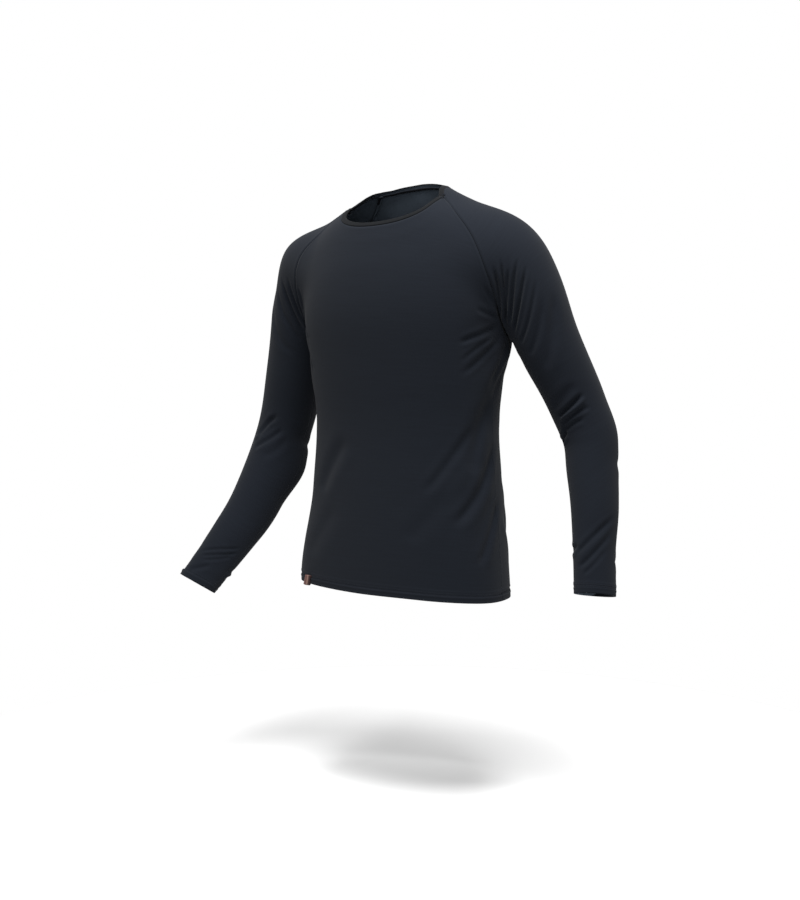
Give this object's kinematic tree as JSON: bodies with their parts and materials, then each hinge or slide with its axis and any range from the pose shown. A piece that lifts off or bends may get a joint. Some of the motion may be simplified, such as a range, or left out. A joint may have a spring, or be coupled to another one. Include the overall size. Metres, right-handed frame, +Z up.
{
  "type": "base layer top",
  "caption": "Close-fitting long-sleeved crew-neck base layer top in dark jersey, with raglan sleeves, filled out as worn on an absent figure.",
  "frame": {"origin": "middle of the neck, at the height where the neck meets the shoulders, where the worn top is held up", "axes": "+Z up through the neck, the front of the top faces -Y, +X is the wearer's left"},
  "size_m": [0.7347, 0.245, 0.6856],
  "materials": {
    "jersey": "matt knitted polyester jersey, dark blue-grey",
    "neckband_jersey": "doubled matt knitted jersey, dark blue-grey",
    "woven_tape": "satin woven tape, dull brownish red"
  },
  "bodies": {
    "root": {"front": "jersey", "back": "jersey", "sleeve_left": "jersey", "sleeve_right": "jersey", "neckband": "neckband_jersey", "hem_tab": "woven_tape"}
  },
  "joints": []
}
